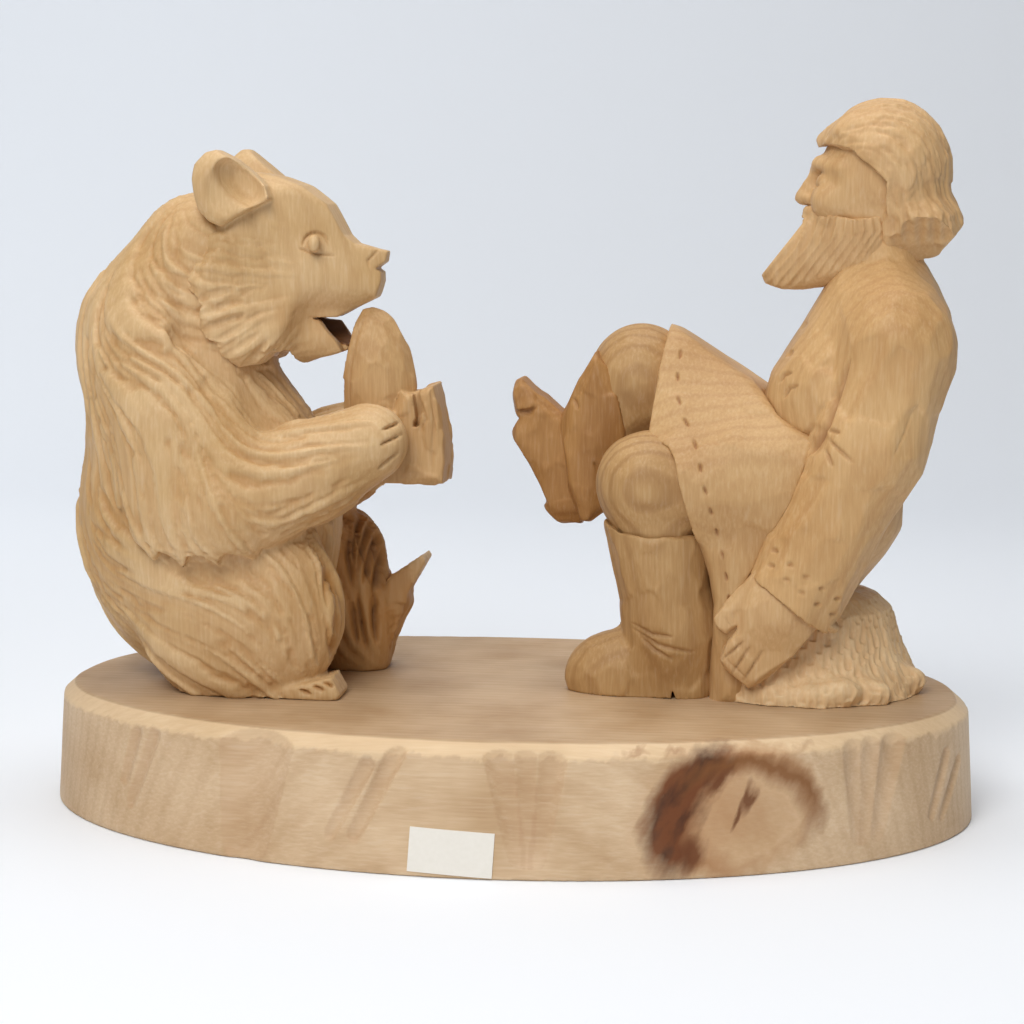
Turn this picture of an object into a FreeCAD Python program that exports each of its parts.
"""Carved wooden figurine: a bear holding a boot and an old man on a tree stump, on an oval slab.

Millimetres. +X runs along the slab from the bear to the man, +Y goes to the back, +Z is up.
The origin is the centre of the slab's underside. Each function returns one separate piece,
and every piece is written to parts/NAME.step. The figures are carved forms, built here from
balls (ellipsoids) and limbs (tapered rods with round ends), and cut flat where they are glued.
"""
import FreeCAD, Part
import math
import os

from FreeCAD import Matrix, Placement, Rotation, Vector

# ---- driving dimensions ----
SLAB_LENGTH = 240.0        # along X, at the underside
SLAB_WIDTH = 142.0         # along Y, at the underside
SLAB_HEIGHT = 30.5
SLAB_TOP_INSET = (1.6, 6.5)    # how far the wall leans in by its upper edge, along X and Y
BACK_SQUARENESS = 2.35     # exponent of the oval's back half; 2 is an ellipse
OVAL_POINTS = 48
BEVEL_HEIGHT = 3.0
BEVEL_INSET = 1.6
FLUTE_RADIUS = 14.0        # knife flutes in the slab's wall
FLUTE_GAP = 0.8            # how far a flute's cutter starts outside the wall's foot
FLUTE_LEAN = 0.04          # and how much more than the wall it leans in, going up
FLUTE_ANGLES = (-122, -100, -84, -52, -33, 38, 63, 97, 118, 150)    # degrees round the slab

BEAR_Y = -1.0              # the bear's plane of symmetry
BEAR_HALF = 16.0           # from that plane to the middle of each arm and leg
MAN_Y = 8.0                # the old man's plane of symmetry
NEAR_LEG_Y = -3.0
RAISED_LEG_Y = 20.0

STUMP_CENTRE = (79.5, 11.0)
STUMP_FOOT_RADIUS = 28.5
STUMP_TOP_RADIUS = 19.5
STUMP_TOP_Z = 57.0

DOWEL_DIAMETER = 6.0
PIN_DIAMETER = 3.0
DOWEL_DEPTH = 16.0         # how far a dowel goes into each of its two pieces

LABEL_LENGTH = 20.0
LABEL_WIDTH = 10.0
LABEL_THICKNESS = 0.3
LABEL_X = -5.4
LABEL_Z = 6.6
LABEL_TILT = 4.0           # degrees

TOP = SLAB_HEIGHT
FAR = 500.0                # larger than anything here


# ---- basic forms ----
def ball(centre, radii, tilt=0.0, turn=0.0):
    """Ellipsoid with its own X, Y and Z radii, tilted about Y and then turned about Z."""
    scale = Matrix()
    scale.scale(*radii)
    shape = Part.makeSphere(1).transformGeometry(scale)
    shape.Placement = Placement(Vector(*centre), Rotation(turn, tilt, 0))
    return shape


def limb(start, start_radius, end, end_radius):
    """Tapered rod with round ends, from one centre to the other."""
    start, end = Vector(*start), Vector(*end)
    length = (end - start).Length
    sine = (start_radius - end_radius) / length
    cosine = math.sqrt(1 - sine * sine)
    half_angle = math.acos(sine) / 2

    def point(along, out):
        return Vector(out, 0, along)

    start_touch = point(start_radius * sine, start_radius * cosine)
    end_touch = point(length + end_radius * sine, end_radius * cosine)
    start_mid = point(start_radius * math.cos(math.pi / 2 + half_angle),
                      start_radius * math.sin(math.pi / 2 + half_angle))
    end_mid = point(length + end_radius * math.cos(half_angle), end_radius * math.sin(half_angle))
    tail, tip = point(-start_radius, 0), point(length + end_radius, 0)
    edges = [
        Part.Arc(tail, start_mid, start_touch).toShape(),
        Part.LineSegment(start_touch, end_touch).toShape(),
        Part.Arc(end_touch, end_mid, tip).toShape(),
        Part.LineSegment(tip, tail).toShape(),
    ]
    shape = Part.Face(Part.Wire(edges)).revolve(Vector(0, 0, 0), Vector(0, 0, 1), 360)
    shape.Placement = Placement(start, Rotation(Vector(0, 0, 1), end - start))
    return shape


def plate(outline, y_from, y_to):
    """Flat outline in X and Z, given its thickness along Y."""
    points = [Vector(x, y_from, z) for x, z in outline]
    face = Part.Face(Part.makePolygon(points + points[:1]))
    return face.extrude(Vector(0, y_to - y_from, 0))


def rod(start, end, diameter):
    """Round straight dowel."""
    start, end = Vector(*start), Vector(*end)
    return Part.makeCylinder(diameter / 2, (end - start).Length, start, end - start)


def above(height):
    """Everything above a height, used to cut a figure's underside flat."""
    return Part.makeBox(2 * FAR, 2 * FAR, FAR, Vector(-FAR, -FAR, height))


def joined(shapes):
    """One solid from shapes that overlap, added one at a time."""
    whole = shapes[0]
    for shape in shapes[1:]:
        whole = whole.fuse(shape)
    return whole


def both_sides(make, *args):
    """The same form on the near side and on the far side of the bear."""
    return [make(side, *args) for side in (-1, 1)]


# ---- slab ----
def oval(half_length, half_width, height):
    """Closed outline: an ellipse in front, and a slightly squarer oval at the back."""
    points = []
    for step in range(OVAL_POINTS):
        turn = 2 * math.pi * step / OVAL_POINTS
        cosine, sine = math.cos(turn), math.sin(turn)
        power = 2 / (BACK_SQUARENESS if sine > 0 else 2)
        points.append(Vector(half_length * math.copysign(abs(cosine) ** power, cosine),
                             half_width * math.copysign(abs(sine) ** power, sine), height))
    curve = Part.BSplineCurve()
    curve.interpolate(points, PeriodicFlag=True)
    return Part.Wire(curve.toShape())


def slab_blank(grow=0.0):
    """The oval slab: a wall that leans in a little, and a bevel round its upper edge."""
    half_length, half_width = SLAB_LENGTH / 2 + grow, SLAB_WIDTH / 2 + grow
    inset_x, inset_y = SLAB_TOP_INSET
    wall = Part.makeLoft([
        oval(half_length, half_width, 0),
        oval(half_length - inset_x, half_width - inset_y, TOP - BEVEL_HEIGHT),
    ], True, True)
    bevel = Part.makeLoft([
        oval(half_length - inset_x, half_width - inset_y, TOP - BEVEL_HEIGHT),
        oval(half_length - inset_x - BEVEL_INSET, half_width - inset_y - BEVEL_INSET, TOP),
    ], True, True)
    return wall.fuse(bevel).removeSplitter()


def flute(angle):
    """A shallow upright knife cut in the wall, at an angle round the oval, deeper going up."""
    turn = math.radians(angle)
    x = SLAB_LENGTH / 2 * math.cos(turn)
    y = SLAB_WIDTH / 2 * math.sin(turn)
    out = Vector(x / (SLAB_LENGTH / 2) ** 2, y / (SLAB_WIDTH / 2) ** 2, 0).normalize()
    inset = Vector(SLAB_TOP_INSET[0] * math.cos(turn), SLAB_TOP_INSET[1] * math.sin(turn), 0)
    wall_lean = out.dot(inset) / (TOP - BEVEL_HEIGHT)
    foot = Vector(x, y, 0) + out * (FLUTE_RADIUS + FLUTE_GAP)
    along = Vector(0, 0, 1) - out * (wall_lean + FLUTE_LEAN)
    return Part.makeCylinder(FLUTE_RADIUS, 2 * TOP, foot, along)


def base_slab():
    return slab_blank().cut([flute(angle) for angle in FLUTE_ANGLES])


def price_label():
    """Blank paper label that follows the slab's wall."""
    skin = slab_blank(LABEL_THICKNESS).cut(slab_blank())
    window = Part.makeBox(LABEL_LENGTH, FAR, LABEL_WIDTH,
                          Vector(-LABEL_LENGTH / 2, -FAR, -LABEL_WIDTH / 2))
    window.Placement = Placement(Vector(LABEL_X, 0, LABEL_Z), Rotation(0, LABEL_TILT, 0))
    return skin.common(window)


# ---- bear ----
def bear_side(side):
    """One side's haunch, arm, cheek and ear."""
    y = BEAR_Y + side * BEAR_HALF
    outer = BEAR_Y + side * (BEAR_HALF + 4)
    return [
        ball((-67, y, 51), (27, 16, 27)),                                   # haunch
        ball((-85, y, 104), (17, 14, 22)),                                  # shoulder
        ball((-74, outer, 84), (19, 11, 19)),                               # upper arm
        limb((-64, outer, 80), 15, (-48, y, 86), 13),                       # forearm
        limb((-47, y, 88.5), 12.5, (-33.5, y, 94), 9.3),                    # paw
        ball((-67.5, BEAR_Y + side * 8, 130), (14, 14, 18)),                # cheek ruff
    ]


def bear_ear(side):
    shell = ball((-69, BEAR_Y + side * 15.5, 159), (8.5, 5.5, 9.3), -20)
    hollow = Part.makeSphere(5, Vector(-63, BEAR_Y + side * 18, 160.5))
    return shell.cut(hollow)


def bear_head():
    snout = limb((-47, BEAR_Y, 136), 10.3, (-37, BEAR_Y, 137.4), 6.2)
    jaw = limb((-57, BEAR_Y, 123.5), 8, (-45, BEAR_Y, 120), 4.3)
    mouth = plate([(-47.5, 125.3), (-28, 128), (-28, 118), (-39, 120.3)], BEAR_Y - 20, BEAR_Y + 20)
    skull = ball((-60, BEAR_Y, 145), (19.5, 18, 17))
    return joined([skull, snout, jaw]).cut(mouth)


def bear_feet():
    """The near foot lies flat, the far one stands on its heel with its claws up."""
    near = BEAR_Y - BEAR_HALF + 2
    far = BEAR_Y + BEAR_HALF + 2
    return [
        ball((-53, near, 31), (13, 9, 6)),
        limb((-48, far, 61), 13, (-42, far, 40), 10),
        limb((-41, far, 37), 7.5, (-35, far, 48.5), 7),
        limb((-34, far, 51), 4.5, (-25, far, 60), 1.6),
    ]


def bear_carving():
    y = BEAR_Y
    trunk = [
        ball((-79, y, 74), (35, 28, 43.8)),                  # belly and back
        ball((-87.5, y, 113), (24.5, 24, 32)),               # chest and hump
        limb((-87, y, 122), 22, (-77.5, y, 139.5), 20),      # neck
    ]
    parts = trunk + sum(both_sides(bear_side), []) + both_sides(bear_ear)
    return joined(parts + [bear_head()] + bear_feet()).common(above(TOP))


def held_boot():
    """Boot held upright on its heel end: the toe points up and the shaft opens to +X."""
    y = BEAR_Y
    foot = ball((-34.5, y, 107), (10.8, 7.6, 21.3), -3)
    heel = limb((-34, y, 96), 8, (-34, y, 92), 8)
    sole = plate([(-41.5, 86), (-41.5, 112), (-38, 127.5), (-44, 130), (-60, 130), (-60, 84)],
                 y - 20, y + 20)
    shaft = plate([(-38, 83.8), (-16.5, 83.8), (-15.5, 92), (-17.3, 107.5), (-23.5, 107), (-38, 103)],
                  y - 8, y + 8)
    return joined([foot, heel, shaft]).cut(sole).common(above(83.8))


# ---- old man ----
def man_head():
    y = MAN_Y
    skull = ball((94, y, 163.5), (16.5, 14.5, 17.5))
    face = ball((85.5, y, 157), (11.5, 11, 13), 20)
    hair = ball((101.5, y, 150.5), (12, 16.5, 10.5))
    crown = ball((99, y, 162), (11.5, 15.5, 16))
    beard = limb((85, y, 147), 12.5, (68.5, y, 138), 4.5)
    nose = limb((80, y, 163), 3, (75.5, y, 158.5), 2.6)
    return [skull, face, hair, crown, beard, nose]


def man_body():
    y = MAN_Y
    return [
        limb((92, y, 127), 11, (93, y, 146), 10),                 # neck
        ball((93, y, 118), (20, 25, 22), 12),                     # chest and shoulders
        ball((88, y, 100), (20, 21, 26)),                         # waist
        ball((77, y, 75), (18, 22, 24)),                          # seat
    ]


def man_arm(side):
    """The near hand rests on the stump's front, the far one on its back."""
    y = MAN_Y + side * 19
    if side < 0:
        elbow, wrist = (89, y, 90), (76, y - 2, 62)
        hand = limb((71, y - 3, 51), 8, (61, y - 3, 42), 5)
    else:
        elbow, wrist = (91, y, 94), (83, y - 1, 72)
        hand = limb((82, y - 1, 67), 7.5, (81, y, 57), 5)
    upper = limb((96, y + side * -2, 120), 14, elbow, 13)
    return [upper, limb(elbow, 13, wrist, 12), hand]


def coat_skirt():
    """Thighs under the long coat, and its tail down to the slab."""
    far_thigh = limb((70, RAISED_LEG_Y - 2, 82), 15, (43, RAISED_LEG_Y, 104), 14)
    near_thigh = limb((84, NEAR_LEG_Y - 1, 80), 18, (44, NEAR_LEG_Y, 84), 13.5)
    flank = plate([(41, 97), (47, 78), (52.5, 57), (52, TOP), (59, TOP), (80, 57), (92, 70),
                   (80, 96), (60, 104)], NEAR_LEG_Y - 9, RAISED_LEG_Y + 6)
    lap = plate([(34, 97), (39.5, 122.5), (49, 115), (64, 104), (75, 92), (56, 80), (42, 90)],
                MAN_Y, RAISED_LEG_Y + 6)
    return [far_thigh, near_thigh, flank, lap]


def planted_leg():
    y = NEAR_LEG_Y
    shaft = Part.makeLoft([
        Part.Wire(Part.Circle(Vector(42.3, y, TOP), Vector(0, 0, 1), 9.8).toShape()),
        Part.Wire(Part.Circle(Vector(42, y, 47), Vector(0, 0, 1), 9.6).toShape()),
        Part.Wire(Part.Circle(Vector(37.2, y, 71.5), Vector(0, 0, 1), 11.8).toShape()),
    ], True, True)
    knee = ball((36, y - 0.5, 85), (12.6, 12, 12.8))
    calf = limb((37, y, 80), 11, (38, y, 66), 10.5)
    foot = ball((31, y, 35), (15.5, 8.2, 9.5), 6)
    toe = ball((23.5, y, 33), (8, 7, 6.5))
    return [knee, calf, shaft, foot, toe]


def raised_leg_blank():
    y = RAISED_LEG_Y
    return joined([
        ball((32.5, y, 110), (14, 12.5, 14)),                 # knee
        limb((33, y, 106), 12, (21.5, y, 91), 10),            # shin inside the boot
        limb((15, y, 80.5), 9.3, (9, y, 92), 8.3),            # heel and foot
        limb((7.5, y, 95.5), 7.8, (3.6, y, 104.5), 4.4),      # toe
    ])


def beyond_hem():
    """Everything on the man's side of the raised leg's joint face, at the coat's far hem."""
    return plate([(40, 130), (FAR, 130), (FAR, 60), (26.2, 60)], -FAR, FAR)


def raised_leg():
    return raised_leg_blank().cut(beyond_hem())


def tree_stump():
    x, y = STUMP_CENTRE
    return Part.makeCone(STUMP_FOOT_RADIUS, STUMP_TOP_RADIUS, STUMP_TOP_Z - TOP, Vector(x, y, TOP))


def man_carving():
    parts = man_head() + man_body() + man_arm(-1) + man_arm(1) + coat_skirt() + planted_leg()
    return joined(parts).common(above(TOP))


# ---- dowels and pin ----
def dowels(points, z_joint):
    """Upright dowels that cross a joint at one height."""
    return [rod((x, y, z_joint - DOWEL_DEPTH), (x, y, z_joint + DOWEL_DEPTH), DOWEL_DIAMETER)
            for x, y in points]


def bear_dowels():
    return dowels([(-70, BEAR_Y - 12), (-70, BEAR_Y + 12)], TOP)


def stump_dowels():
    x, y = STUMP_CENTRE
    return dowels([(x - 14, y), (x + 14, y)], TOP)


def seat_dowel():
    x, y = STUMP_CENTRE
    return dowels([(x + 4, y)], STUMP_TOP_Z)


def boot_pin():
    """Thin pin along Y from the near paw into the held boot."""
    return [rod((-32, BEAR_Y - 16, 93), (-32, BEAR_Y + 2, 93), PIN_DIAMETER)]


def raised_leg_dowel():
    return [rod((25, RAISED_LEG_Y, 111), (49, RAISED_LEG_Y, 106.5), DOWEL_DIAMETER)]


# ---- assembly ----
def build():
    boot = held_boot()
    pins = {
        "bear_dowels": bear_dowels(),
        "stump_dowels": stump_dowels(),
        "seat_dowel": seat_dowel(),
        "boot_pin": boot_pin(),
        "raised_leg_dowel": raised_leg_dowel(),
    }
    pieces = {
        "base_slab": base_slab().cut(pins["bear_dowels"] + pins["stump_dowels"]),
        "bear_figure": bear_carving().cut([boot] + pins["bear_dowels"] + pins["boot_pin"]),
        "held_boot": boot.cut(pins["boot_pin"]),
        "old_man_figure": man_carving().cut(
            [tree_stump(), raised_leg()] + pins["seat_dowel"] + pins["raised_leg_dowel"]),
        "raised_leg": raised_leg().cut(pins["raised_leg_dowel"]),
        "tree_stump": tree_stump().cut(pins["stump_dowels"] + pins["seat_dowel"]),
        "price_label": price_label(),
    }
    for name, rods in pins.items():
        pieces[name] = Part.Compound(rods) if len(rods) > 1 else rods[0]
    return pieces


def main():
    os.makedirs("parts", exist_ok=True)
    for name, shape in build().items():
        solids = shape.Solids
        box = shape.BoundBox
        print(f"{name}: {len(solids)} solid(s), valid {shape.isValid()}, "
              f"volume {shape.Volume:.0f}, x {box.XMin:.1f}..{box.XMax:.1f}, "
              f"y {box.YMin:.1f}..{box.YMax:.1f}, z {box.ZMin:.1f}..{box.ZMax:.1f}")
        shape.exportStep(f"parts/{name}.step")


main()
